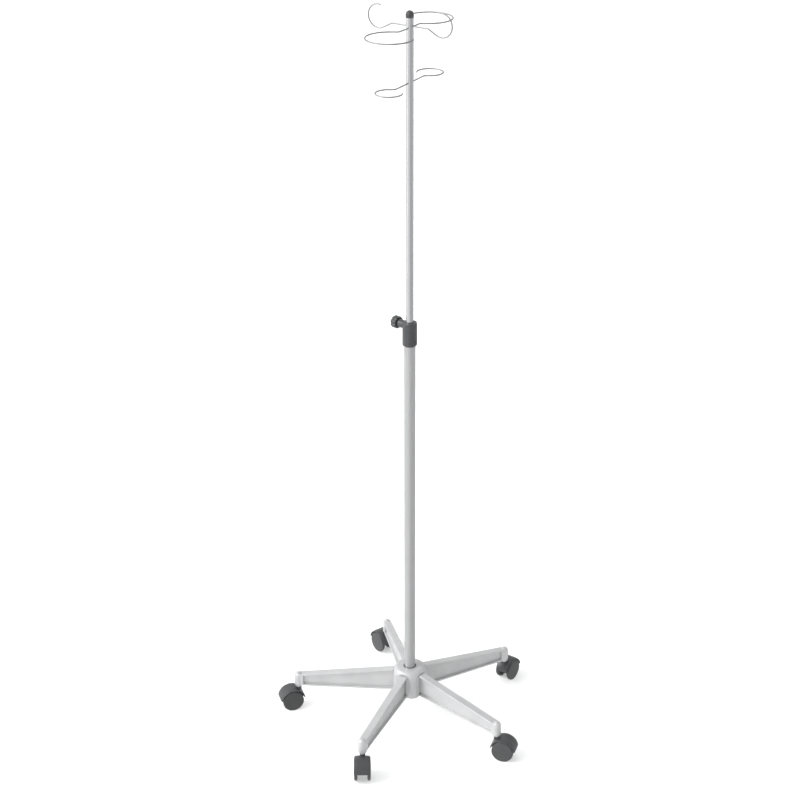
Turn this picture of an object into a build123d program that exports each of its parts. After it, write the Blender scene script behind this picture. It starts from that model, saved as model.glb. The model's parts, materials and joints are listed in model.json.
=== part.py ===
"""Mobile infusion stand: five-legged caster base, telescopic pole, height clamp, bag hooks and bottle rings.

Millimetres, +Z up. The origin is on the floor, under the pole's axis. Leg 1 points along -Y, and the
other legs follow counter-clockwise, seen from above, in steps of 72 degrees.
"""
import math
import os

from build123d import *

# ---------------------------------------------------------------- driving dimensions
LEG_COUNT = 5
LEG_STEP = 360 / LEG_COUNT
FIRST_LEG_ANGLE = -90
CASTER_CIRCLE_R = 263          # pole axis to caster stem axis

HUB_APOTHEM = 36               # pole axis to the flat that carries a leg
HUB_CORNER_R = 41
HUB_BOTTOM_Z = 62
HUB_TOP_Z = 129
CROWN_REACH = 13.5             # how far in the rounded crown starts, and how deep it goes
CROWN_DEPTH = 20.5

TUBE_R = 12.5                  # lower tube
TUBE_WALL = 1.8
MAST_R = 8                     # upper tube
MAST_WALL = 1.5
MAST_LENGTH = 1150
MAST_TOP_Z = 1658
RUN_GAP = 0.05                 # radial running clearance
SLOT_GAP = 0.2                 # clearance of the leg roots in the hub

CLAMP_R = 16
CLAMP_BOTTOM_Z = 943
CLAMP_TOP_Z = 997
KNOB_AXIS_Z = 987.5
KNOB_ANGLE = 162               # half way between legs 4 and 5

WIRE_R = 1.5
WIRE_BEND_R = 7
MAST_YAW = 23.7                # how far the mast stands turned in the base
BAG_HOOK_YAW = -33             # bag hook plane, from the ring wires' own X axis
BAG_HOOK_Z = 1641.0
BOTTLE_RING_Z = 1637.2
NECK_RING_Z = 1524.3

WHEEL_R = 25
CASTER_TRAIL = 18              # stem axis to wheel axle
CASTER_TURN = 24               # how far each caster stands turned from its leg
HOOD_R = 30
HOOD_WALL = 2.5
STEM_R = 5
PIVOT_R = 4

os.makedirs("parts", exist_ok=True)


def export(piece, name):
    """Write one finished piece as its own STEP file."""
    piece.label = name
    export_step(piece, f"parts/{name}.step")


def leg_angle(number):
    """Plan angle of a leg, counted from 1."""
    return FIRST_LEG_ANGLE + (number - 1) * LEG_STEP


def polar(radius, angle):
    """Plan point at a radius and an angle in degrees."""
    return (radius * math.cos(math.radians(angle)), radius * math.sin(math.radians(angle)))


# ---------------------------------------------------------------- base hub
HUB_RECESS = 6                 # depth of the recess that takes the retaining plate
HUB_LEDGE = 8                  # floor of the tube bore, above the recess
RECESS_R = 31.5
RECESS_Z = HUB_BOTTOM_Z + HUB_RECESS
TUBE_BOTTOM_Z = RECESS_Z + HUB_LEDGE
MOUTH_R = 14.3                 # counterbore that leaves a dark ring round the tube
MOUTH_DEPTH = 5
CENTRE_HOLE_R = 5.3
PLATE_SCREW_CIRCLE_R = 23
PLATE_SCREW_R = 2.5
PLATE_SCREW_LENGTH = 14
ROOT_NECK = 8                  # leg root: T-shaped tongue, neck and head across and along the leg
ROOT_HEAD = 14
ROOT_STEP = 5
ROOT_TOP_Z = 110

with BuildPart() as base_hub:
    with BuildSketch(Plane.XY.offset(HUB_BOTTOM_Z)):
        RegularPolygon(HUB_APOTHEM, LEG_COUNT, major_radius=False, rotation=FIRST_LEG_ANGLE + LEG_STEP * 1.5)
    extrude(amount=HUB_TOP_Z - HUB_BOTTOM_Z)
    with BuildSketch(Plane.XZ):
        with BuildLine():
            crown = EllipticalCenterArc(
                (HUB_CORNER_R - CROWN_REACH, HUB_TOP_Z - CROWN_DEPTH),
                CROWN_REACH,
                CROWN_DEPTH,
                start_angle=0,
                arc_size=90,
            )
            Polyline(
                crown @ 1,
                (0, HUB_TOP_Z),
                (0, HUB_BOTTOM_Z),
                (HUB_CORNER_R - 1, HUB_BOTTOM_Z),
                (HUB_CORNER_R, HUB_BOTTOM_Z + 1),
                crown @ 0,
            )
        make_face()
    revolve(axis=Axis.Z, mode=Mode.INTERSECT)
    with BuildSketch(Plane.XY.offset(HUB_TOP_Z)):
        Circle(MOUTH_R)
    extrude(amount=-MOUTH_DEPTH, mode=Mode.SUBTRACT)
    with BuildSketch(Plane.XY.offset(TUBE_BOTTOM_Z)):
        Circle(TUBE_R)
    extrude(amount=HUB_TOP_Z - TUBE_BOTTOM_Z, mode=Mode.SUBTRACT)
    with BuildSketch(Plane.XY.offset(HUB_BOTTOM_Z)):
        Circle(RECESS_R)
    extrude(amount=HUB_RECESS, mode=Mode.SUBTRACT)
    with BuildSketch(Plane.XY.offset(RECESS_Z)):
        Circle(CENTRE_HOLE_R)
    extrude(amount=HUB_LEDGE, mode=Mode.SUBTRACT)
    with BuildSketch(Plane.XY.offset(RECESS_Z)):
        with PolarLocations(PLATE_SCREW_CIRCLE_R, LEG_COUNT, start_angle=FIRST_LEG_ANGLE + LEG_STEP / 2):
            Circle(PLATE_SCREW_R)
    extrude(amount=PLATE_SCREW_LENGTH, mode=Mode.SUBTRACT)
    with BuildSketch(Plane.XY.offset(RECESS_Z)):
        with PolarLocations(HUB_APOTHEM - ROOT_STEP / 2, LEG_COUNT, start_angle=FIRST_LEG_ANGLE):
            Rectangle(ROOT_STEP, ROOT_NECK + 2 * SLOT_GAP)
        with PolarLocations(HUB_APOTHEM - ROOT_STEP * 1.5, LEG_COUNT, start_angle=FIRST_LEG_ANGLE):
            Rectangle(ROOT_STEP, ROOT_HEAD + 2 * SLOT_GAP)
    extrude(amount=ROOT_TOP_Z + SLOT_GAP - RECESS_Z, mode=Mode.SUBTRACT)
    with BuildSketch(Plane.XY.offset(HUB_BOTTOM_Z)):
        with PolarLocations(HUB_APOTHEM - ROOT_STEP / 2, LEG_COUNT, start_angle=FIRST_LEG_ANGLE):
            Rectangle(ROOT_STEP + 1, ROOT_NECK + 2 * SLOT_GAP)
    extrude(amount=HUB_RECESS, mode=Mode.SUBTRACT)
export(base_hub.part, "base_hub")

# ---------------------------------------------------------------- legs
LEG_WIDTH = 18.5
LEG_ROOT_TOP_Z = 120
LEG_ROOT_BOTTOM_Z = 64.5
LEG_TIP_TOP_Z = 91
LEG_TIP_BOTTOM_Z = 61
EDGE_ROUND = 0.8
FLANGE = 4
WEB_RECESS = 6
RECESS_END_R = CASTER_CIRCLE_R - 12
BOSS_R = 10
BOSS_BOTTOM_Z = 55.5
BOSS_TOP_Z = 93.5
BOSS_BOTTOM_ROUND = 6.5
SOCKET_R = 6.5
SOCKET_DEPTH = 31


def leg_edge_z(root_z, tip_z, radius):
    """Height of a straight leg edge at a distance from the pole axis."""
    return root_z + (tip_z - root_z) * (radius - HUB_APOTHEM) / (CASTER_CIRCLE_R - BOSS_R - HUB_APOTHEM)


with BuildPart() as leg:
    with BuildSketch(Plane.XZ):
        Polygon(
            (HUB_APOTHEM, LEG_ROOT_BOTTOM_Z),
            (HUB_APOTHEM, LEG_ROOT_TOP_Z),
            (CASTER_CIRCLE_R, leg_edge_z(LEG_ROOT_TOP_Z, LEG_TIP_TOP_Z, CASTER_CIRCLE_R)),
            (CASTER_CIRCLE_R, leg_edge_z(LEG_ROOT_BOTTOM_Z, LEG_TIP_BOTTOM_Z, CASTER_CIRCLE_R)),
            align=None,
        )
    extrude(amount=LEG_WIDTH / 2, both=True)
    sides = leg.faces().filter_by(Axis.Y)
    fillet([edge for side in sides for edge in side.edges().sort_by(SortBy.LENGTH)[-2:]], radius=EDGE_ROUND)
    for side in (1, -1):
        with BuildSketch(Plane.XZ.offset(-side * LEG_WIDTH / 2)):
            Polygon(
                (HUB_APOTHEM, LEG_ROOT_BOTTOM_Z + FLANGE),
                (HUB_APOTHEM, LEG_ROOT_TOP_Z - FLANGE),
                (RECESS_END_R, leg_edge_z(LEG_ROOT_TOP_Z, LEG_TIP_TOP_Z, RECESS_END_R) - FLANGE),
                (RECESS_END_R, leg_edge_z(LEG_ROOT_BOTTOM_Z, LEG_TIP_BOTTOM_Z, RECESS_END_R) + FLANGE),
                align=None,
            )
        extrude(amount=side * WEB_RECESS, mode=Mode.SUBTRACT)
    with BuildSketch(Plane.XZ):
        with BuildLine():
            dome = RadiusArc(
                (CASTER_CIRCLE_R, BOSS_TOP_Z), (CASTER_CIRCLE_R + BOSS_R, BOSS_TOP_Z - BOSS_R), BOSS_R
            )
            foot = RadiusArc(
                (CASTER_CIRCLE_R + BOSS_R, BOSS_BOTTOM_Z + BOSS_BOTTOM_ROUND),
                (CASTER_CIRCLE_R + BOSS_R - BOSS_BOTTOM_ROUND, BOSS_BOTTOM_Z),
                BOSS_BOTTOM_ROUND,
            )
            Line(dome @ 1, foot @ 0)
            Polyline(foot @ 1, (CASTER_CIRCLE_R, BOSS_BOTTOM_Z), dome @ 0)
        make_face()
    revolve(axis=Axis((CASTER_CIRCLE_R, 0, 0), (0, 0, 1)))
    with BuildSketch(Plane.XY.offset(BOSS_BOTTOM_Z)):
        with Locations((CASTER_CIRCLE_R, 0)):
            Circle(SOCKET_R)
    extrude(amount=SOCKET_DEPTH, mode=Mode.SUBTRACT)
    with BuildSketch(Plane.XY.offset(RECESS_Z)):
        with Locations((HUB_APOTHEM - ROOT_STEP / 2, 0)):
            Rectangle(ROOT_STEP, ROOT_NECK)
        with Locations((HUB_APOTHEM - ROOT_STEP * 1.5, 0)):
            Rectangle(ROOT_STEP - 2 * SLOT_GAP, ROOT_HEAD)
        with Locations((HUB_APOTHEM - ROOT_STEP, 0)):
            Rectangle(2 * SLOT_GAP, ROOT_NECK)
    extrude(amount=ROOT_TOP_Z - RECESS_Z)

for number in range(1, LEG_COUNT + 1):
    export(leg.part.rotate(Axis.Z, leg_angle(number)), f"leg_{number}")

# ---------------------------------------------------------------- fastening under the hub
PLATE_T = 3
PLATE_R = 31
WASHER_R = 12
WASHER_T = 1.5
BOLT_R = 5
BOLT_HEAD_R = 8.5
BOLT_HEAD_T = 5
BOLT_KEY_R = 3
SCREW_HEAD_R = 4.5
SCREW_HEAD_T = 2.8
PLATE_Z = RECESS_Z - PLATE_T

with BuildPart() as leg_retaining_plate:
    with BuildSketch(Plane.XY.offset(PLATE_Z)):
        Circle(PLATE_R)
        Circle(CENTRE_HOLE_R, mode=Mode.SUBTRACT)
        with PolarLocations(PLATE_SCREW_CIRCLE_R, LEG_COUNT, start_angle=FIRST_LEG_ANGLE + LEG_STEP / 2):
            Circle(PLATE_SCREW_R + SLOT_GAP, mode=Mode.SUBTRACT)
    extrude(amount=PLATE_T)
export(leg_retaining_plate.part, "leg_retaining_plate")

with BuildPart() as leg_plate_screws:
    with BuildSketch(Plane.XY.offset(PLATE_Z - SCREW_HEAD_T)):
        with PolarLocations(PLATE_SCREW_CIRCLE_R, LEG_COUNT, start_angle=FIRST_LEG_ANGLE + LEG_STEP / 2):
            Circle(SCREW_HEAD_R)
    extrude(amount=SCREW_HEAD_T)
    with BuildSketch(Plane.XY.offset(PLATE_Z)):
        with PolarLocations(PLATE_SCREW_CIRCLE_R, LEG_COUNT, start_angle=FIRST_LEG_ANGLE + LEG_STEP / 2):
            Circle(PLATE_SCREW_R - RUN_GAP)
    extrude(amount=PLATE_T + PLATE_SCREW_LENGTH - 1)
    with BuildSketch(Plane.XY.offset(PLATE_Z - SCREW_HEAD_T)):
        with PolarLocations(PLATE_SCREW_CIRCLE_R, LEG_COUNT, start_angle=FIRST_LEG_ANGLE + LEG_STEP / 2):
            RegularPolygon(SCREW_HEAD_R / 2.5, 6)
    extrude(amount=SCREW_HEAD_T / 2, mode=Mode.SUBTRACT)
export(leg_plate_screws.part, "leg_plate_screws")

with BuildPart() as centre_washer:
    with BuildSketch(Plane.XY.offset(PLATE_Z - WASHER_T)):
        Circle(WASHER_R)
        Circle(CENTRE_HOLE_R, mode=Mode.SUBTRACT)
    extrude(amount=WASHER_T)
export(centre_washer.part, "centre_washer")

PLUG_HEIGHT = 30
PLUG_R = TUBE_R - TUBE_WALL
BOLT_REACH = 22                # thread length inside the tube plug
BOLT_HEAD_Z = PLATE_Z - WASHER_T - BOLT_HEAD_T

with BuildPart() as centre_bolt:
    with BuildSketch(Plane.XY.offset(BOLT_HEAD_Z)):
        Circle(BOLT_HEAD_R)
    extrude(amount=BOLT_HEAD_T)
    chamfer(centre_bolt.edges().group_by(Axis.Z)[0], length=1)
    with BuildSketch(Plane.XY.offset(BOLT_HEAD_Z + BOLT_HEAD_T)):
        Circle(BOLT_R)
    extrude(amount=TUBE_BOTTOM_Z + BOLT_REACH - BOLT_HEAD_Z - BOLT_HEAD_T)
    with BuildSketch(Plane.XY.offset(BOLT_HEAD_Z)):
        RegularPolygon(BOLT_KEY_R, 6)
    extrude(amount=BOLT_HEAD_T * 0.6, mode=Mode.SUBTRACT)
export(centre_bolt.part, "centre_bolt")

with BuildPart() as tube_base_plug:
    with BuildSketch(Plane.XY.offset(TUBE_BOTTOM_Z)):
        Circle(PLUG_R)
        Circle(BOLT_R + RUN_GAP, mode=Mode.SUBTRACT)
    extrude(amount=PLUG_HEIGHT)
    chamfer(tube_base_plug.edges().group_by(Axis.Z)[-1], length=1)
export(tube_base_plug.part, "tube_base_plug")

# ---------------------------------------------------------------- lower tube
TUBE_TOP_Z = 974

with BuildPart() as lower_tube:
    with BuildSketch(Plane.XY.offset(TUBE_BOTTOM_Z)):
        Circle(TUBE_R)
        Circle(TUBE_R - TUBE_WALL, mode=Mode.SUBTRACT)
    extrude(amount=TUBE_TOP_Z - TUBE_BOTTOM_Z)
export(lower_tube.part, "lower_tube")

# ---------------------------------------------------------------- height clamp
BUSH_LENGTH = 40
BUSH_FLANGE_T = 3
CLAMP_MOUTH_R = MAST_R + 0.4
CLAMP_CHAMFER = 2.5
CLAMP_ROUND = 2
SIDE_BOSS_R = 9
SIDE_BOSS_REACH = 29           # pole axis to the end of the side boss
SPINDLE_R = 4
INSERT_R = 6
INSERT_INNER_REACH = 14
PAD_R = 5
PAD_T = 4
PAD_SLOT_R = PAD_R + RUN_GAP
SET_SCREW_Z = 955
SET_SCREW_R = 2.5
BUSH_TOP_Z = TUBE_TOP_Z + BUSH_FLANGE_T
knob_plane = Plane(
    origin=(0, 0, KNOB_AXIS_Z),
    x_dir=(*polar(1, KNOB_ANGLE + 90), 0),
    z_dir=(*polar(1, KNOB_ANGLE), 0),
)
set_screw_plane = Plane(origin=(0, 0, SET_SCREW_Z), z_dir=(*polar(1, KNOB_ANGLE + 180), 0))

with BuildPart() as guide_bush:
    with BuildSketch(Plane.XY.offset(BUSH_TOP_Z - BUSH_LENGTH)):
        Circle(TUBE_R - TUBE_WALL)
    extrude(amount=BUSH_LENGTH)
    with BuildSketch(Plane.XY.offset(TUBE_TOP_Z)):
        Circle(TUBE_R)
    extrude(amount=BUSH_FLANGE_T)
    with BuildSketch(Plane.XY.offset(BUSH_TOP_Z)):
        Circle(MAST_R + RUN_GAP)
    extrude(amount=-BUSH_LENGTH, mode=Mode.SUBTRACT)
export(guide_bush.part, "guide_bush")

with BuildPart() as clamp_body:
    with BuildSketch(Plane.XY.offset(CLAMP_BOTTOM_Z)):
        Circle(CLAMP_R)
    extrude(amount=CLAMP_TOP_Z - CLAMP_BOTTOM_Z)
    chamfer(clamp_body.edges().group_by(Axis.Z)[0], length=CLAMP_CHAMFER)
    fillet(clamp_body.edges().group_by(Axis.Z)[-1], radius=CLAMP_ROUND)
    with BuildSketch(knob_plane):
        Circle(SIDE_BOSS_R)
    extrude(amount=SIDE_BOSS_REACH)
    fillet(clamp_body.faces().sort_by(Axis(knob_plane.origin, knob_plane.z_dir))[-1].edges(), radius=1)
    with BuildSketch(Plane.XY.offset(CLAMP_BOTTOM_Z)):
        Circle(TUBE_R)
    extrude(amount=BUSH_TOP_Z - CLAMP_BOTTOM_Z, mode=Mode.SUBTRACT)
    with BuildSketch(Plane.XY.offset(BUSH_TOP_Z)):
        Circle(CLAMP_MOUTH_R)
    extrude(amount=CLAMP_TOP_Z - BUSH_TOP_Z, mode=Mode.SUBTRACT)
    with BuildSketch(knob_plane):
        Circle(PAD_SLOT_R)
    extrude(amount=SIDE_BOSS_REACH, mode=Mode.SUBTRACT)
    with BuildSketch(knob_plane.offset(INSERT_INNER_REACH)):
        Circle(INSERT_R)
    extrude(amount=SIDE_BOSS_REACH, mode=Mode.SUBTRACT)
    with BuildSketch(set_screw_plane):
        Circle(SET_SCREW_R)
    extrude(amount=CLAMP_R + 1, mode=Mode.SUBTRACT)
export(clamp_body.part, "clamp_body")

with BuildPart() as clamp_insert:
    with BuildSketch(knob_plane.offset(INSERT_INNER_REACH)):
        Circle(INSERT_R)
        Circle(SPINDLE_R + RUN_GAP, mode=Mode.SUBTRACT)
    extrude(amount=SIDE_BOSS_REACH - INSERT_INNER_REACH - 1)
export(clamp_insert.part, "clamp_insert")

SET_SCREW_LENGTH = 3

with BuildPart() as clamp_set_screw:
    with BuildSketch(set_screw_plane.offset(TUBE_R)):
        Circle(SET_SCREW_R)
        RegularPolygon(SET_SCREW_R / 2, 6, mode=Mode.SUBTRACT)
    extrude(amount=SET_SCREW_LENGTH)
    with BuildSketch(set_screw_plane.offset(TUBE_R)):
        Circle(SET_SCREW_R)
    extrude(amount=1)
export(clamp_set_screw.part, "clamp_set_screw")

# the pad rests on the upper tube, and its face is hollowed to the tube's curve
with BuildPart() as clamp_pad:
    with BuildSketch(knob_plane):
        Circle(PAD_R)
    extrude(amount=MAST_R + PAD_T)
    with BuildSketch(Plane.XY.offset(KNOB_AXIS_Z - PAD_R)):
        Circle(MAST_R + RUN_GAP)
    extrude(amount=2 * PAD_R, mode=Mode.SUBTRACT)
export(clamp_pad.part, "clamp_pad")

# ---------------------------------------------------------------- star knob
KNOB_R = 13.5
KNOB_INNER_REACH = 31.5        # pole axis to the near face of the grip
KNOB_T = 13
KNOB_LOBES = 8
KNOB_ROUND = 1
LOBE_CUT_R = 3.2
KNOB_NECK_R = 6.5
KNOB_BORE_DEPTH = 10

with BuildPart() as knob_grip:
    with BuildSketch(knob_plane.offset(KNOB_INNER_REACH)):
        Circle(KNOB_R)
        with PolarLocations(KNOB_R + LOBE_CUT_R * 0.45, KNOB_LOBES):
            Circle(LOBE_CUT_R, mode=Mode.SUBTRACT)
    extrude(amount=KNOB_T)
    fillet(knob_grip.edges().filter_by(knob_plane), radius=KNOB_ROUND)
    with BuildSketch(knob_plane.offset(SIDE_BOSS_REACH + 0.5)):
        Circle(KNOB_NECK_R)
    extrude(amount=KNOB_INNER_REACH - SIDE_BOSS_REACH)
    with BuildSketch(knob_plane.offset(SIDE_BOSS_REACH + 0.5)):
        Circle(SPINDLE_R)
    extrude(amount=KNOB_BORE_DEPTH, mode=Mode.SUBTRACT)
export(knob_grip.part, "knob_grip")

with BuildPart() as knob_spindle:
    with BuildSketch(knob_plane.offset(MAST_R + PAD_T)):
        Circle(SPINDLE_R)
    extrude(amount=SIDE_BOSS_REACH + 0.5 + KNOB_BORE_DEPTH - MAST_R - PAD_T)
    chamfer(knob_spindle.faces().sort_by(Axis(knob_plane.origin, knob_plane.z_dir))[0].edges(), length=0.6)
export(knob_spindle.part, "knob_spindle")

# ---------------------------------------------------------------- mast wires
BAG_HOOK_KINK = (43, 0)
BAG_HOOK_CENTRE = (75.5, 10.5)
BAG_HOOK_RING_R = 24.5
BAG_HOOK_TIP_ANGLE = 104
BOTTLE_KINK = (-20.7, -34.5)
BOTTLE_CENTRE = (-39.8, -83.3)
BOTTLE_RING_R = 48.8
BOTTLE_TIP_ANGLE = -14.5
NECK_KINK = (-29.4, -52)
NECK_CENTRE = (-41.7, -79.5)
NECK_RING_R = 27.5
NECK_TIP_ANGLE = 0
TIP_CHAMFER = 0.6

ring_x = (*polar(1, MAST_YAW), 0)
bottle_plane = Plane(origin=(0, 0, BOTTLE_RING_Z), x_dir=ring_x, z_dir=(0, 0, 1))
neck_plane = Plane(origin=(0, 0, NECK_RING_Z), x_dir=ring_x, z_dir=(0, 0, 1))
bag_x = (*polar(1, MAST_YAW + BAG_HOOK_YAW), 0)
bag_plane = Plane(origin=(0, 0, BAG_HOOK_Z), x_dir=bag_x, z_dir=(*polar(1, MAST_YAW + BAG_HOOK_YAW - 90), 0))


def ring_start(kink, centre, radius):
    """Where the straight from the kink meets the ring, and its heading, for a counter-clockwise ring."""
    reach = math.dist(kink, centre)
    heading = math.degrees(math.atan2(centre[1] - kink[1], centre[0] - kink[0]) - math.asin(radius / reach))
    run = math.sqrt(reach**2 - radius**2)
    step = polar(run, heading)
    return (kink[0] + step[0], kink[1] + step[1]), heading


def double_ring_wire(plane, kink, centre, radius, tip_angle, upright=False):
    """One wire through the tube that ends in an open ring on each side, alike after half a turn of the mast.

    A flat wire's far side is its near side turned about the middle, and an upright wire's is mirrored.
    """
    start, heading = ring_start(kink, centre, radius)
    sweep_angle = (tip_angle - (heading - 90)) % 360
    flip = 1 if upright else -1
    far_kink = (-kink[0], flip * kink[1])
    far_start = (-start[0], flip * start[1])
    near_way = polar(1, heading)
    with BuildPart() as wire:
        with BuildLine(plane) as path:
            JernArc(far_start, (-near_way[0], flip * near_way[1]), radius, -flip * sweep_angle)
            FilletPolyline(far_start, far_kink, kink, start, radius=WIRE_BEND_R)
            JernArc(start, near_way, radius, sweep_angle)
        route = path.wires()[0]
        with BuildSketch(Plane(origin=route @ 0, z_dir=route % 0, x_dir=plane.z_dir)):
            Circle(WIRE_R)
        sweep(path=route)
        chamfer(wire.faces().filter_by(GeomType.PLANE).edges(), length=TIP_CHAMFER)
    return wire.part


bag_hook_wire = double_ring_wire(
    bag_plane, BAG_HOOK_KINK, BAG_HOOK_CENTRE, BAG_HOOK_RING_R, BAG_HOOK_TIP_ANGLE, upright=True
)
bottle_ring_wire = double_ring_wire(bottle_plane, BOTTLE_KINK, BOTTLE_CENTRE, BOTTLE_RING_R, BOTTLE_TIP_ANGLE)
neck_ring_wire = double_ring_wire(neck_plane, NECK_KINK, NECK_CENTRE, NECK_RING_R, NECK_TIP_ANGLE)
export(bag_hook_wire, "bag_hook_wire")
export(bottle_ring_wire, "bottle_ring_wire")
export(neck_ring_wire, "neck_ring_wire")

# ---------------------------------------------------------------- upper tube, cap and guide plug
MAST_BOTTOM_Z = MAST_TOP_Z - MAST_LENGTH
GUIDE_PLUG_LENGTH = 30
GUIDE_PLUG_R = TUBE_R - TUBE_WALL - 2 * RUN_GAP
GUIDE_PIN_LENGTH = 20
CAP_R = 8.4
CAP_SKIRT = 6.1
CAP_PLUG_LENGTH = 10

with BuildPart() as upper_tube:
    with BuildSketch(Plane.XY.offset(MAST_BOTTOM_Z)):
        Circle(MAST_R)
        Circle(MAST_R - MAST_WALL, mode=Mode.SUBTRACT)
    extrude(amount=MAST_LENGTH)
    for wire_plane, kink in ((bottle_plane, BOTTLE_KINK), (neck_plane, NECK_KINK), (bag_plane, BAG_HOOK_KINK)):
        run = wire_plane.from_local_coords(Vector(*kink)) - wire_plane.origin
        with BuildSketch(Plane(origin=wire_plane.origin, z_dir=run)):
            Circle(WIRE_R)
        extrude(amount=MAST_R + 1, both=True, mode=Mode.SUBTRACT)
export(upper_tube.part, "upper_tube")

with BuildPart() as end_cap:
    with BuildSketch(Plane.XZ):
        with BuildLine():
            crown_arc = CenterArc((0, MAST_TOP_Z + CAP_SKIRT), CAP_R, 0, 90)
            Polyline(
                crown_arc @ 1,
                (0, MAST_TOP_Z - CAP_PLUG_LENGTH),
                (MAST_R - MAST_WALL - 1, MAST_TOP_Z - CAP_PLUG_LENGTH),
                (MAST_R - MAST_WALL, MAST_TOP_Z - CAP_PLUG_LENGTH + 1),
                (MAST_R - MAST_WALL, MAST_TOP_Z),
                (CAP_R, MAST_TOP_Z),
                crown_arc @ 0,
            )
        make_face()
    revolve(axis=Axis.Z)
export(end_cap.part, "end_cap")

# the plug slides in the lower tube, and the upper tube turns on its pin
with BuildPart() as mast_guide_plug:
    with BuildSketch(Plane.XY.offset(MAST_BOTTOM_Z - GUIDE_PLUG_LENGTH)):
        Circle(GUIDE_PLUG_R)
    extrude(amount=GUIDE_PLUG_LENGTH)
    chamfer(mast_guide_plug.edges(), length=1.5)
    with BuildSketch(Plane.XY.offset(MAST_BOTTOM_Z)):
        Circle(MAST_R - MAST_WALL - RUN_GAP)
    extrude(amount=GUIDE_PIN_LENGTH)
export(mast_guide_plug.part, "mast_guide_plug")

# ---------------------------------------------------------------- casters
AXLE_R = 3
AXLE_HALF = 15
HOOD_CUT_Z = 29.5              # lower edge of the hood, front and back
HOOD_HALF_BACK = 18.6
HOOD_HALF_FRONT = 15
HOOD_FRONT_X = CASTER_TRAIL - HOOD_R
HOOD_BACK_X = CASTER_TRAIL + HOOD_R
HOOD_TAPER_X = 14              # the hood keeps its full width from here back
CORE_HALF = 9.5                # half thickness of the rib between the wheels
CORE_EYE_R = 9
NECK_R = 6.4
NECK_TOP_Z = BOSS_BOTTOM_Z - 0.6
NECK_ROOT_Z = 46
STEM_BOTTOM_Z = 26.5
STEM_TOP_Z = BOSS_BOTTOM_Z + 28
SNAP_Z = HOOD_CUT_Z - 1.6
SNAP_T = 1.2
SNAP_GROOVE_R = 3.3
SNAP_RING_R = 6.2
WHEEL_INNER = 11.4
WHEEL_RIM = 18.2
WHEEL_CROWN = 18.9
WHEEL_TREAD_ROUND = 1.6
WHEEL_POCKET_IN_R = 7
WHEEL_POCKET_OUT_R = 20
WHEEL_POCKET_DEPTH = 3.5
WHEEL_BORE_DEPTH = 4.2
axle_axis = Axis((CASTER_TRAIL, 0, WHEEL_R), (0, 1, 0))

with BuildPart() as caster_stem:
    with BuildSketch(Plane.XY.offset(STEM_BOTTOM_Z)):
        Circle(PIVOT_R)
    extrude(amount=BOSS_BOTTOM_Z - STEM_BOTTOM_Z)
    with BuildSketch(Plane.XY.offset(BOSS_BOTTOM_Z)):
        Circle(STEM_R)
    extrude(amount=STEM_TOP_Z - BOSS_BOTTOM_Z)
    chamfer(caster_stem.edges().group_by(Axis.Z)[-1], length=1.5)
    chamfer(caster_stem.edges().group_by(Axis.Z)[0], length=0.6)
    with BuildSketch(Plane.XY.offset(SNAP_Z)):
        Circle(PIVOT_R + 1)
        Circle(SNAP_GROOVE_R, mode=Mode.SUBTRACT)
    extrude(amount=SNAP_T, mode=Mode.SUBTRACT)

with BuildPart() as snap_ring:
    with BuildSketch(Plane.XY.offset(SNAP_Z)):
        Circle(SNAP_RING_R)
        Circle(SNAP_GROOVE_R, mode=Mode.SUBTRACT)
    extrude(amount=SNAP_T)

with BuildPart() as caster_socket:
    with BuildSketch(Plane.XY.offset(BOSS_BOTTOM_Z)):
        Circle(SOCKET_R)
        Circle(STEM_R, mode=Mode.SUBTRACT)
    extrude(amount=SOCKET_DEPTH - 1)

with BuildPart() as caster_housing:
    with BuildSketch(Plane.XZ):
        with Locations((CASTER_TRAIL, WHEEL_R)):
            Circle(HOOD_R)
    extrude(amount=HOOD_HALF_BACK, both=True)
    with BuildSketch(Plane.XZ):
        with Locations((CASTER_TRAIL, WHEEL_R)):
            Circle(HOOD_R - HOOD_WALL)
    extrude(amount=HOOD_HALF_BACK, both=True, mode=Mode.SUBTRACT)
    with BuildSketch(Plane.XZ):
        with Locations((CASTER_TRAIL, WHEEL_R)):
            Circle(HOOD_R - HOOD_WALL / 2)
    extrude(amount=CORE_HALF, both=True)
    with BuildSketch(Plane.XY):
        with BuildLine():
            Polyline(
                (HOOD_FRONT_X - 1, -HOOD_HALF_FRONT),
                (HOOD_TAPER_X, -HOOD_HALF_BACK),
                (HOOD_BACK_X + 1, -HOOD_HALF_BACK),
                (HOOD_BACK_X + 1, HOOD_HALF_BACK),
                (HOOD_TAPER_X, HOOD_HALF_BACK),
                (HOOD_FRONT_X - 1, HOOD_HALF_FRONT),
                close=True,
            )
        make_face()
    extrude(amount=WHEEL_R + HOOD_R, mode=Mode.INTERSECT)
    with BuildSketch(Plane.XY):
        Rectangle(200, 200)
    extrude(amount=HOOD_CUT_Z, mode=Mode.SUBTRACT)
    with BuildSketch(Plane.XZ):
        with Locations((CASTER_TRAIL, WHEEL_R)):
            Circle(CORE_EYE_R)
    extrude(amount=CORE_HALF, both=True)
    with BuildSketch(Plane.XY.offset(NECK_ROOT_Z)):
        Circle(NECK_R)
    extrude(amount=NECK_TOP_Z - NECK_ROOT_Z)
    with BuildSketch(Plane.XZ):
        with Locations((CASTER_TRAIL, WHEEL_R)):
            Circle(AXLE_R)
    extrude(amount=CORE_HALF, both=True, mode=Mode.SUBTRACT)
    with BuildSketch(Plane.XY.offset(HOOD_CUT_Z)):
        Circle(PIVOT_R + RUN_GAP)
    extrude(amount=NECK_TOP_Z - HOOD_CUT_Z, mode=Mode.SUBTRACT)

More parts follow.
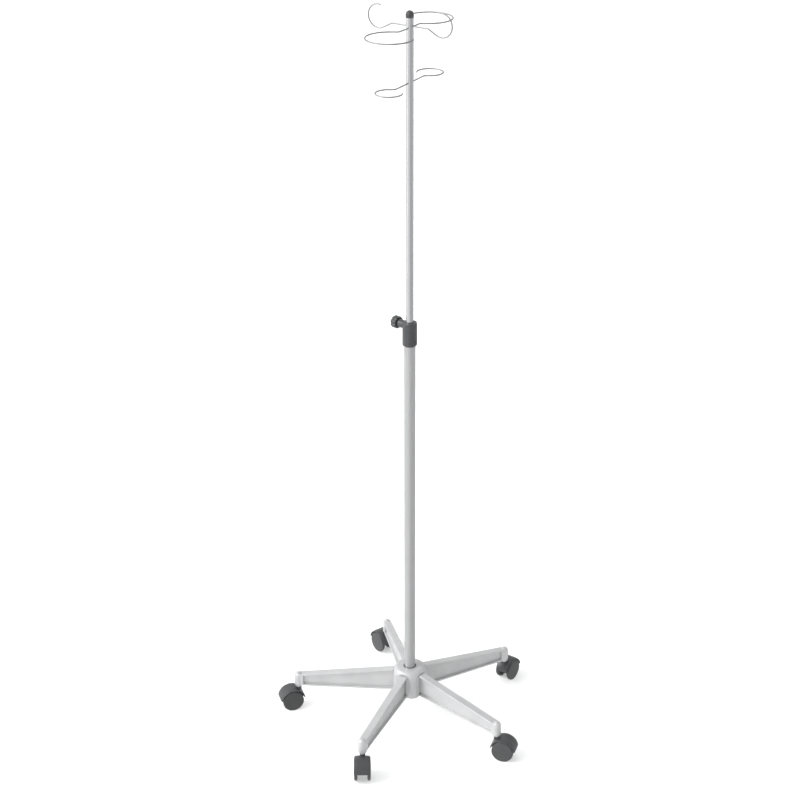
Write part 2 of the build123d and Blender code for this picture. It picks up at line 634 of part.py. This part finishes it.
with BuildPart() as caster_axle:
    with BuildSketch(Plane.XZ):
        with Locations((CASTER_TRAIL, WHEEL_R)):
            Circle(AXLE_R)
    extrude(amount=AXLE_HALF, both=True)
    chamfer(caster_axle.edges().filter_by(GeomType.CIRCLE), length=0.5)

with BuildPart() as caster_wheel:
    with BuildSketch(Plane.XY.offset(WHEEL_R)):
        with BuildLine():
            crown_face = ThreePointArc(
                (CASTER_TRAIL, WHEEL_CROWN),
                (CASTER_TRAIL + WHEEL_R * 0.5, WHEEL_CROWN - (WHEEL_CROWN - WHEEL_RIM) * 0.24),
                (CASTER_TRAIL + WHEEL_R - WHEEL_TREAD_ROUND, WHEEL_RIM),
            )
            shoulder = RadiusArc(crown_face @ 1, (CASTER_TRAIL + WHEEL_R, WHEEL_RIM - WHEEL_TREAD_ROUND),
                                 WHEEL_TREAD_ROUND)
            Polyline(
                shoulder @ 1,
                (CASTER_TRAIL + WHEEL_R, WHEEL_INNER + 1),
                (CASTER_TRAIL + WHEEL_R - 1, WHEEL_INNER),
                (CASTER_TRAIL + WHEEL_POCKET_OUT_R, WHEEL_INNER),
                (CASTER_TRAIL + WHEEL_POCKET_OUT_R, WHEEL_INNER + WHEEL_POCKET_DEPTH),
                (CASTER_TRAIL + WHEEL_POCKET_IN_R, WHEEL_INNER + WHEEL_POCKET_DEPTH),
                (CASTER_TRAIL + WHEEL_POCKET_IN_R, WHEEL_INNER - 1),
                (CASTER_TRAIL + AXLE_R + RUN_GAP, WHEEL_INNER - 1),
                (CASTER_TRAIL + AXLE_R + RUN_GAP, WHEEL_INNER + WHEEL_BORE_DEPTH),
                (CASTER_TRAIL, WHEEL_INNER + WHEEL_BORE_DEPTH),
                crown_face @ 0,
            )
        make_face()
    revolve(axis=axle_axis)


with BuildPart() as caster_wheel_mirrored:
    add(caster_wheel.part.mirror(Plane.XZ))


def caster_place(number):
    """Where the caster under a leg stands, turned about its stem."""
    angle = leg_angle(number)
    return Location((*polar(CASTER_CIRCLE_R, angle), 0), (0, 0, angle + CASTER_TURN))


caster_pieces = {
    "stem": caster_stem.part,
    "housing": caster_housing.part,
    "axle": caster_axle.part,
    "wheel_left": caster_wheel.part,
    "wheel_right": caster_wheel_mirrored.part,
}
for number in range(1, LEG_COUNT + 1):
    for name, piece in caster_pieces.items():
        export(piece.moved(caster_place(number)), f"caster_{number}_{name}")

for name, piece in (("caster_sockets", caster_socket.part), ("stem_snap_rings", snap_ring.part)):
    export(Compound([piece.moved(caster_place(number)) for number in range(1, LEG_COUNT + 1)]), name)
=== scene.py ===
"""Mobile infusion stand: star base on casters, telescopic pole, hooks and bottle rings, in a pale studio."""
import json
import math

import bpy
import bmesh
from mathutils import Matrix, Vector

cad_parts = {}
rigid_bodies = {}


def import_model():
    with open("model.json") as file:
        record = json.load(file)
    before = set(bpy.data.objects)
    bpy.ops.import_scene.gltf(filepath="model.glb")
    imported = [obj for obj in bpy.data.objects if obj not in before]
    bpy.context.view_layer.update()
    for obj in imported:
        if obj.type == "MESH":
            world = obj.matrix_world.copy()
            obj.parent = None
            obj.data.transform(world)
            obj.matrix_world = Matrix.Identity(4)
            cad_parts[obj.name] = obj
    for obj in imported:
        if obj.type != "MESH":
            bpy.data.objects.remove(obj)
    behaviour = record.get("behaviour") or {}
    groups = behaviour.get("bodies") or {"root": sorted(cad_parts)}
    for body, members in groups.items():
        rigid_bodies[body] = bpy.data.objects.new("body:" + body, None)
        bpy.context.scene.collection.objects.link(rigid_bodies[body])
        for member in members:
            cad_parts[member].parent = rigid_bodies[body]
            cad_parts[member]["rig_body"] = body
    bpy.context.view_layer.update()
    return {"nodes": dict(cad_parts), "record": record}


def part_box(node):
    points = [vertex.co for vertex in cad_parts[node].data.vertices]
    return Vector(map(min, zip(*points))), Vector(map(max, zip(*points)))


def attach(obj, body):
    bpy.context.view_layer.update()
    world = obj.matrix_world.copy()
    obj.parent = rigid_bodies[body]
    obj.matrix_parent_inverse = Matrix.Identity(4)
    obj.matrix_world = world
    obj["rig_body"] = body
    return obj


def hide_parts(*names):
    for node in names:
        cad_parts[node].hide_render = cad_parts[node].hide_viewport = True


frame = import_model()
NODES = frame["nodes"]
RECORD = frame["record"]
SLOT_OF = {row["node"]: row["material_slot"] for row in RECORD["subparts"]}
CASTERS = range(1, 6)

# ---------------------------------------------------------------- camera, lights and floor
VIEW_AZIMUTH = math.radians(23.7)
CAMERA_DISTANCE = 3.7          # from the pole, in plan
CAMERA_HEIGHT = 2.56
CAMERA_PITCH = math.radians(24.25)
CAMERA_LENS = 84.32
CAMERA_SHIFT = (-0.0122, -0.042)
CAMERA_REACH = 100             # far clipping distance

POLE_MIDDLE = Vector((0, 0, 0.8))
AIR_TINT = (0.985, 0.992, 1.0, 1)
AIR_LEFT = 1.0                 # brightness of the air on the camera's left and right
AIR_RIGHT = 0.58
AIR_FADE = 0.3                 # half width of the band between the two, as a part of the radius
KEY_PLACE = (-2.8, 0.7, 2.2)   # lamps: right of the pole, towards the camera, up
KEY_STRENGTH = 1.6
KEY_SPREAD = 30                # degrees across
LEFT_STRIP_PLACE = (-2.6, 0.4, 1.2)
LEFT_STRIP_SIZE = (0.9, 2.6)
LEFT_STRIP_WATTS = 7
RIGHT_STRIP_PLACE = (2.7, -0.4, 1.2)
RIGHT_STRIP_SIZE = (0.6, 2.4)
RIGHT_STRIP_WATTS = 2.5

ROOM_RADIUS = 30
FLOOR_SIDES = 96
FLOOR_WHITE = (0.93, 0.93, 0.93, 1)
FLOOR_ROUGHNESS = 0.9
WASH_PLACE = Vector((0, 0, 5)) # the floor's own lamp
WASH_STRENGTH = 1.2
WASH_SPREAD = 10               # degrees across
BACKDROP_FINENESS = 4
BACKDROP_GLOW = 1.2

RIGHT = Vector((math.cos(VIEW_AZIMUTH), math.sin(VIEW_AZIMUTH), 0))
TOWARDS = Vector((math.sin(VIEW_AZIMUTH), -math.cos(VIEW_AZIMUTH), 0))


def studio_point(right, towards, up):
    """A point right of the pole and nearer the camera than it, as the camera sees them, in metres."""
    return RIGHT * right + TOWARDS * towards + Vector((0, 0, up))


def make_camera():
    data = bpy.data.cameras.new("studio_camera")
    data.lens = CAMERA_LENS
    data.shift_x, data.shift_y = CAMERA_SHIFT
    data.clip_end = CAMERA_REACH
    camera = bpy.data.objects.new("studio_camera", data)
    camera.location = studio_point(0, CAMERA_DISTANCE, CAMERA_HEIGHT)
    camera.rotation_euler = (math.pi / 2 - CAMERA_PITCH, 0, VIEW_AZIMUTH)
    bpy.context.scene.collection.objects.link(camera)
    bpy.context.scene.camera = camera


def softbox(name, place, target, size, watts):
    """A large rectangular lamp that faces the target point."""
    data = bpy.data.lights.new(name, "AREA")
    data.shape = "RECTANGLE"
    data.size, data.size_y = size
    data.energy = watts
    lamp = bpy.data.objects.new(name, data)
    lamp.location = place
    lamp.rotation_mode = "QUATERNION"
    lamp.rotation_quaternion = (target - place).to_track_quat("-Z", "Y")
    bpy.context.scene.collection.objects.link(lamp)


def sky_lamp(name, place, strength, spread):
    """A far, soft lamp that lights everything evenly from the direction of place. Spread is in degrees."""
    data = bpy.data.lights.new(name, "SUN")
    data.energy = strength
    data.angle = math.radians(spread)
    lamp = bpy.data.objects.new(name, data)
    lamp.location = place
    lamp.rotation_mode = "QUATERNION"
    lamp.rotation_quaternion = (-place).to_track_quat("-Z", "Y")
    bpy.context.scene.collection.objects.link(lamp)
    return lamp


def make_air():
    """Pale light from all round, stronger from the camera's left than from its right."""
    world = bpy.data.worlds.new("studio_air")
    bpy.context.scene.world = world
    world.use_nodes = True
    nodes = world.node_tree.nodes
    link = world.node_tree.links.new
    side = nodes.new("ShaderNodeVectorMath")
    side.operation = "DOT_PRODUCT"
    side.inputs[1].default_value = RIGHT
    link(nodes.new("ShaderNodeTexCoord").outputs["Generated"], side.inputs[0])
    fade = nodes.new("ShaderNodeMapRange")
    fade.interpolation_type = "SMOOTHSTEP"
    fade.inputs["From Min"].default_value = -AIR_FADE
    fade.inputs["From Max"].default_value = AIR_FADE
    fade.inputs["To Min"].default_value = AIR_LEFT
    fade.inputs["To Max"].default_value = AIR_RIGHT
    link(side.outputs["Value"], fade.inputs["Value"])
    background = nodes["Background"]
    background.inputs["Color"].default_value = AIR_TINT
    link(fade.outputs["Result"], background.inputs["Strength"])


def stage_piece(name, shape):
    """Turns a bmesh into a stage object with a paint of its own, and returns the object and its shader."""
    mesh = bpy.data.meshes.new(name)
    shape.to_mesh(mesh)
    shape.free()
    piece = bpy.data.objects.new(name, mesh)
    bpy.context.scene.collection.objects.link(piece)
    paint = bpy.data.materials.new(f"{name}_paint")
    paint.use_nodes = True
    mesh.materials.append(paint)
    return piece, paint.node_tree.nodes["Principled BSDF"]


def make_floor():
    """A wide pale floor, with a lamp of its own that keeps it near white and its shadows faint."""
    shape = bmesh.new()
    bmesh.ops.create_circle(shape, cap_ends=True, radius=ROOM_RADIUS, segments=FLOOR_SIDES)
    floor, surface = stage_piece("studio_floor", shape)
    surface.inputs["Base Color"].default_value = FLOOR_WHITE
    surface.inputs["Roughness"].default_value = FLOOR_ROUGHNESS
    floor.visible_glossy = False
    only_floor = bpy.data.collections.new("lit_by_floor_wash")
    only_floor.objects.link(floor)
    wash = sky_lamp("floor_wash", WASH_PLACE, WASH_STRENGTH, WASH_SPREAD)
    wash.data.use_shadow = False
    wash.light_linking.receiver_collection = only_floor


def make_backdrop():
    """A white dome behind the floor's rim that only the camera sees, so the air's own shading never shows."""
    shape = bmesh.new()
    bmesh.ops.create_icosphere(shape, subdivisions=BACKDROP_FINENESS, radius=ROOM_RADIUS)
    dome, surface = stage_piece("studio_backdrop", shape)
    surface.inputs["Base Color"].default_value = (0, 0, 0, 1)
    surface.inputs["Specular IOR Level"].default_value = 0
    surface.inputs["Emission Color"].default_value = (1, 1, 1, 1)
    surface.inputs["Emission Strength"].default_value = BACKDROP_GLOW
    dome.visible_diffuse = False
    dome.visible_glossy = False
    dome.visible_transmission = False
    dome.visible_shadow = False


def make_studio():
    sky_lamp("key_left", studio_point(*KEY_PLACE), KEY_STRENGTH, KEY_SPREAD)
    softbox("strip_left", studio_point(*LEFT_STRIP_PLACE), POLE_MIDDLE, LEFT_STRIP_SIZE, LEFT_STRIP_WATTS)
    softbox("strip_right", studio_point(*RIGHT_STRIP_PLACE), POLE_MIDDLE, RIGHT_STRIP_SIZE, RIGHT_STRIP_WATTS)
    make_air()
    make_floor()
    make_backdrop()
    bpy.context.scene.view_settings.view_transform = "Standard"


# ---------------------------------------------------------------- materials
SHADE_SAMPLES = 6              # rays for the rounded normals and the painted-shade mask in hollows
EDGE_TURN = (0.99, 0.82)       # cosine of the rounding's turn where an edge begins, and where it is full
CORNER_LIGHT = (0.85, 0.25)    # openness to the air where a hollow begins, and where it is full
RIDGE_BEND = (0.515, 0.56)     # pointiness where a ridge begins, and where it is full


class Shader:
    """Builds one procedural material. Lengths are in metres, on the piece's own coordinates."""

    def __init__(self, name):
        self.material = bpy.data.materials.new(name)
        self.material.use_nodes = True
        self.nodes = self.material.node_tree.nodes
        self.links = self.material.node_tree.links
        self.surface = self.nodes["Principled BSDF"]
        self.place = self.nodes.new("ShaderNodeTexCoord").outputs["Object"]

    def set(self, **values):
        """Plain values on the surface's own sockets; an underscore stands for a space."""
        for key, value in values.items():
            self.surface.inputs[key.replace("_", " ")].default_value = value

    def link(self, source, socket):
        self.links.new(source, self.surface.inputs[socket])

    def stretched(self, scale):
        """Coordinates scaled apart along each axis, for grain that runs one way."""
        node = self.nodes.new("ShaderNodeMapping")
        node.inputs["Scale"].default_value = scale
        self.links.new(self.place, node.inputs["Vector"])
        return node.outputs["Vector"]

    def noise(self, size, detail=3.0, stretch=None):
        """Noise whose blotches are about size metres across."""
        node = self.nodes.new("ShaderNodeTexNoise")
        node.inputs["Scale"].default_value = 1 / size
        node.inputs["Detail"].default_value = detail
        self.links.new(self.stretched(stretch) if stretch else self.place, node.inputs["Vector"])
        return node.outputs["Fac"]

    def pits(self, size):
        """Cells about size metres across, lowest at their middles."""
        node = self.nodes.new("ShaderNodeTexVoronoi")
        node.inputs["Scale"].default_value = 1 / size
        self.links.new(self.place, node.inputs["Vector"])
        return node.outputs["Distance"]

    def remap(self, source, low, high, out_low=0.0, out_high=1.0):
        node = self.nodes.new("ShaderNodeMapRange")
        for socket, value in zip(("From Min", "From Max", "To Min", "To Max"), (low, high, out_low, out_high)):
            node.inputs[socket].default_value = value
        self.links.new(source, node.inputs["Value"])
        return node.outputs["Result"]

    def blend(self, factor, first, second):
        """Colour from first to second. Each is a plain colour or another node's output."""
        node = self.nodes.new("ShaderNodeMix")
        node.data_type = "RGBA"
        self.links.new(factor, node.inputs["Factor"])
        for socket, colour in (("A", first), ("B", second)):
            slot = next(s for s in node.inputs if s.name == socket and s.type == "RGBA")
            if isinstance(colour, tuple):
                slot.default_value = (*colour, 1)
            else:
                self.links.new(colour, slot)
        return next(s for s in node.outputs if s.type == "RGBA")

    def sum(self, first, second, weight):
        """first + second * weight."""
        node = self.nodes.new("ShaderNodeMath")
        node.operation = "MULTIPLY_ADD"
        self.links.new(second, node.inputs[0])
        node.inputs[1].default_value = weight
        self.links.new(first, node.inputs[2])
        return node.outputs["Value"]

    def rounded_normal(self, radius):
        """The surface's normal with its edges rounded to a radius."""
        node = self.nodes.new("ShaderNodeBevel")
        node.samples = SHADE_SAMPLES
        node.inputs["Radius"].default_value = radius
        return node.outputs["Normal"]

    def edges(self, normal):
        """A mask that is 1 where a rounded normal leaves the flat one."""
        node = self.nodes.new("ShaderNodeVectorMath")
        node.operation = "DOT_PRODUCT"
        self.links.new(normal, node.inputs[0])
        self.links.new(self.nodes.new("ShaderNodeNewGeometry").outputs["Normal"], node.inputs[1])
        return self.remap(node.outputs["Value"], *EDGE_TURN)

    def hollows(self, reach):
        """A mask for painted shade, 1 deep in corners and gaps, within reach metres of a neighbouring surface."""
        node = self.nodes.new("ShaderNodeAmbientOcclusion")
        node.samples = SHADE_SAMPLES
        node.inputs["Distance"].default_value = reach
        return self.remap(node.outputs["AO"], *CORNER_LIGHT)

    def ridges(self):
        """A mask that is 1 along the rounded edges of a finely meshed casting."""
        node = self.nodes.new("ShaderNodeNewGeometry")
        return self.remap(node.outputs["Pointiness"], *RIDGE_BEND)

    def bump(self, height, depth, normal=None):
        """Height from 0 to 1 becomes relief that many metres deep."""
        node = self.nodes.new("ShaderNodeBump")
        node.inputs["Distance"].default_value = depth
        self.links.new(height, node.inputs["Height"])
        if normal is not None:
            self.links.new(normal, node.inputs["Normal"])
        self.links.new(node.outputs["Normal"], self.surface.inputs["Normal"])


def cast_silver():
    """Die-cast aluminium under pale silver paint: casting ripple, orange peel, bright edges, painted shade in
    corners.
    """
    s = Shader("cast_silver_paint")
    cloud = s.remap(s.noise(0.035, 4), 0.35, 0.65)
    paint = s.blend(cloud, (0.545, 0.545, 0.548), (0.60, 0.60, 0.602))
    flake = s.remap(s.noise(0.0007, 2), 0.5, 0.72)
    paint = s.blend(flake, paint, (0.66, 0.66, 0.662))
    worn = s.blend(s.remap(s.ridges(), 0, 1, 0, 0.4), paint, (0.68, 0.68, 0.68))
    # painted shade: the paint darkens to dark grey in corners and gaps near other surfaces, standing in for the
    # shade that falls there
    painted_corner_shade = s.blend(s.remap(s.hollows(0.006), 0, 1, 0, 0.8), worn, (0.26, 0.26, 0.26))
    s.link(painted_corner_shade, "Base Color")
    s.link(s.remap(s.noise(0.006, 4), 0.3, 0.7, 0.30, 0.42), "Roughness")
    s.set(Metallic=0.22, Coat_Weight=0.2, Coat_Roughness=0.18)
    s.bump(s.sum(s.noise(0.0045, 3), s.noise(0.0012, 2), 0.35), 0.00020)
    return s.material


def tube_silver():
    """Painted tube: silver powder coat with fine orange peel, long drawing lines and a few handling smudges."""
    s = Shader("satin_tube_paint")
    normal = s.rounded_normal(0.0006)
    edge = s.edges(normal)
    peel = s.noise(0.0016, 2)
    drawn = s.noise(0.0012, 2, (1, 1, 0.02))
    smudge = s.remap(s.noise(0.06, 4, (1, 1, 0.5)), 0.45, 0.75)
    tone = s.blend(s.remap(drawn, 0.3, 0.7), (0.48, 0.48, 0.483), (0.52, 0.52, 0.522))
    tone = s.blend(s.remap(smudge, 0, 1, 0, 0.3), tone, (0.44, 0.44, 0.44))
    s.link(s.blend(s.remap(edge, 0, 1, 0, 0.5), tone, (0.62, 0.62, 0.62)), "Base Color")
    s.link(s.sum(s.remap(peel, 0.3, 0.7, 0.28, 0.36), smudge, 0.08), "Roughness")
    s.set(Metallic=0.55, Coat_Weight=0.15, Coat_Roughness=0.2)
    s.bump(s.sum(peel, drawn, 0.3), 0.00001, normal)
    return s.material


def polished_steel(name, low, high, rough, ring_grain=True):
    """Bright steel with drawn grain, slight blotches of dulling and clean edges."""
    s = Shader(name)
    normal = s.rounded_normal(0.0004)
    stretch = (0.3, 0.3, 3.5) if ring_grain else (1.6, 1.6, 1.6)
    grain = s.noise(0.0009, 2, stretch)
    haze = s.remap(s.noise(0.03, 4), 0.4, 0.7)
    s.link(s.blend(haze, high, low), "Base Color")
    s.link(s.sum(s.remap(grain, 0.3, 0.7, rough, rough + 0.07), haze, 0.06), "Roughness")
    s.set(Metallic=1.0)
    s.bump(grain, 0.00002, normal)
    return s.material


def zinc_steel():
    """Black zinc plating with its spangle and a little dull bloom."""
    s = Shader("black_zinc_steel")
    normal = s.rounded_normal(0.0004)
    spangle = s.remap(s.pits(0.0026), 0.1, 0.7)
    bloom = s.remap(s.noise(0.008, 4), 0.5, 0.75)
    tone = s.blend(spangle, (0.050, 0.051, 0.054), (0.075, 0.076, 0.078))
    s.link(s.blend(s.remap(bloom, 0, 1, 0, 0.5), tone, (0.11, 0.11, 0.105)), "Base Color")
    s.link(s.remap(spangle, 0, 1, 0.28, 0.42), "Roughness")
    s.set(Metallic=0.6)
    s.bump(s.noise(0.0008, 2), 0.00003, normal)
    return s.material


def moulded_plastic(name, low, high, rough, edge_tone, grain=0.0006, relief=0.00006, edge_radius=0.0006):
    """Moulded plastic: spark-eroded grain, faint flow marks and edges rubbed smoother and lighter."""
    s = Shader(name)
    normal = s.rounded_normal(edge_radius)
    edge = s.edges(normal)
    flow = s.remap(s.noise(0.014, 4, (1, 1, 0.4)), 0.3, 0.7)
    speck = s.remap(s.noise(0.0015, 3), 0.35, 0.65)
    tone = s.blend(s.sum(s.remap(flow, 0, 1, 0, 0.6), speck, 0.4), low, high)
    s.link(s.blend(s.remap(edge, 0, 1, 0, 0.6), tone, edge_tone), "Base Color")
    s.link(s.sum(s.remap(speck, 0, 1, rough, rough + 0.1), edge, -0.1), "Roughness")
    s.set(Specular_IOR_Level=0.5, Coat_Weight=0.3, Coat_Roughness=0.28)
    s.bump(s.sum(s.noise(grain, 2), s.pits(grain * 1.8), 0.5), relief, normal)
    return s.material


def brass():
    """Turned brass with fine rings, dulled in patches."""
    s = Shader("turned_brass")
    normal = s.rounded_normal(0.0003)
    haze = s.remap(s.noise(0.004, 4), 0.4, 0.7)
    s.link(s.blend(haze, (0.86, 0.66, 0.32), (0.62, 0.44, 0.20)), "Base Color")
    s.link(s.remap(haze, 0, 1, 0.22, 0.4), "Roughness")
    s.set(Metallic=1.0)
    s.bump(s.noise(0.0007, 2, (1, 1, 3)), 0.00003, normal)
    return s.material


MATERIALS = {
    "base_casting": cast_silver(),
    "tube_paint": tube_silver(),
    "mast_steel": polished_steel("polished_mast_steel", (0.62, 0.62, 0.625), (0.65, 0.65, 0.655), 0.2),
    "hook_steel": polished_steel("drawn_wire_steel", (0.36, 0.36, 0.364), (0.41, 0.41, 0.414), 0.42, False),
    "zinc_steel": zinc_steel(),
    "dark_plastic": moulded_plastic(
        "grained_dark_plastic", (0.044, 0.045, 0.047), (0.060, 0.061, 0.063), 0.36, (0.12, 0.12, 0.123)
    ),
    "cap_plastic": moulded_plastic(
        "soft_black_cap", (0.04, 0.04, 0.042), (0.06, 0.06, 0.062), 0.38, (0.10, 0.10, 0.10)
    ),
    "caster_plastic": moulded_plastic(
        "grained_caster_plastic", (0.046, 0.047, 0.049), (0.062, 0.063, 0.065), 0.38, (0.12, 0.12, 0.124)
    ),
    "wheel_plastic": moulded_plastic(
        "soft_wheel_tread", (0.046, 0.047, 0.048), (0.062, 0.063, 0.064), 0.42, (0.10, 0.10, 0.102), 0.0009, 0.00009
    ),
    "white_nylon": moulded_plastic(
        "milky_nylon", (0.74, 0.74, 0.71), (0.82, 0.82, 0.79), 0.42, (0.88, 0.88, 0.86)
    ),
    "brass_insert": brass(),
}


# ---------------------------------------------------------------- castings and mouldings with rounded edges
CAST_PITCH = 0.0007            # grids that the castings and the mouldings are meshed on
MOULD_PITCH = 0.0004
LEG_ROUNDS = 9                 # how often each kind of piece is smoothed
HUB_ROUNDS = 5
HOOD_ROUNDS = 12
CLAMP_ROUNDS = 6
SMOOTHING = 0.5
SAME_POINT = 1e-6
HOOD_FLAT = 0.5                # part of the hood's half width that stays straight
HOOD_SHELL_R = 0.026           # the hood's shell lies outside this distance from the axle
HOOD_ROLL = 0.0012             # how far the shell's side edges bend in towards the wheels


def centre(node_name):
    low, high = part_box(node_name)
    return (Vector(low) + Vector(high)) / 2


def plan_angle(direction):
    return math.atan2(direction.y, direction.x)


def roll_in_sides(mesh, axle):
    """Bends a caster hood's shell in along both its sides. The mesh lies with the axle along X."""
    half = max(abs(vertex.co.x - axle.x) for vertex in mesh.vertices)
    for vertex in mesh.vertices:
        outward = vertex.co - axle
        past_flat = (abs(outward.x) / half - HOOD_FLAT) / (1 - HOOD_FLAT)
        outward.x = 0
        if past_flat > 0 and outward.length > HOOD_SHELL_R:
            vertex.co -= outward.normalized() * HOOD_ROLL * past_flat ** 2


def softened(node_name, suffix, pitch, rounds, heading=0.0, axle=None):
    """A finely meshed copy of a CAD node with its edges rounded over, as casting and moulding leave them.

    The grid is laid along the heading, the angle in plan of the piece's own straight edges.
    A caster hood is given with its axle's centre, and its sides are rolled in.
    """
    source = NODES[node_name]
    turn = Matrix.Rotation(heading, 3, "Z")
    shape = bmesh.new()
    shape.from_mesh(source.data)
    bmesh.ops.remove_doubles(shape, verts=shape.verts, dist=SAME_POINT)
    bmesh.ops.rotate(shape, verts=shape.verts, cent=(0, 0, 0), matrix=turn.inverted())
    closed = bpy.data.meshes.new("closed")
    shape.to_mesh(closed)
    shape.free()
    draft = bpy.data.objects.new("draft", closed)
    bpy.context.scene.collection.objects.link(draft)
    grid = draft.modifiers.new("grid", "REMESH")
    grid.mode = "VOXEL"
    grid.voxel_size = pitch
    rounding = draft.modifiers.new("rounding", "SMOOTH")
    rounding.factor = SMOOTHING
    rounding.iterations = rounds
    mesh = bpy.data.meshes.new_from_object(draft.evaluated_get(bpy.context.evaluated_depsgraph_get()))
    bpy.data.objects.remove(draft)
    if axle is not None:
        roll_in_sides(mesh, turn.inverted() @ axle)
    mesh.transform(turn.to_4x4())
    mesh.name = f"{node_name}_{suffix}"
    mesh.shade_smooth()
    mesh.materials.clear()
    mesh.materials.append(MATERIALS[SLOT_OF[node_name]])
    piece = bpy.data.objects.new(mesh.name, mesh)
    bpy.context.scene.collection.objects.link(piece)
    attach(piece, source["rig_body"])
    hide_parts(node_name)
    return piece


make_camera()
make_studio()
for leg in CASTERS:
    axle = centre(f"caster_{leg}_axle")
    across = centre(f"caster_{leg}_wheel_left") - centre(f"caster_{leg}_wheel_right")
    softened(f"leg_{leg}", "casting", CAST_PITCH, LEG_ROUNDS, plan_angle(centre(f"caster_{leg}_stem")))
    softened(f"caster_{leg}_housing", "moulding", MOULD_PITCH, HOOD_ROUNDS, plan_angle(across), axle)
softened("base_hub", "casting", CAST_PITCH, HUB_ROUNDS)
softened("clamp_body", "moulding", MOULD_PITCH, CLAMP_ROUNDS)

for node_name, node in NODES.items():
    finish = MATERIALS[SLOT_OF[node_name]]
    if node.material_slots:
        for own_slot in node.material_slots:
            own_slot.material = finish
    else:
        node.data.materials.append(finish)
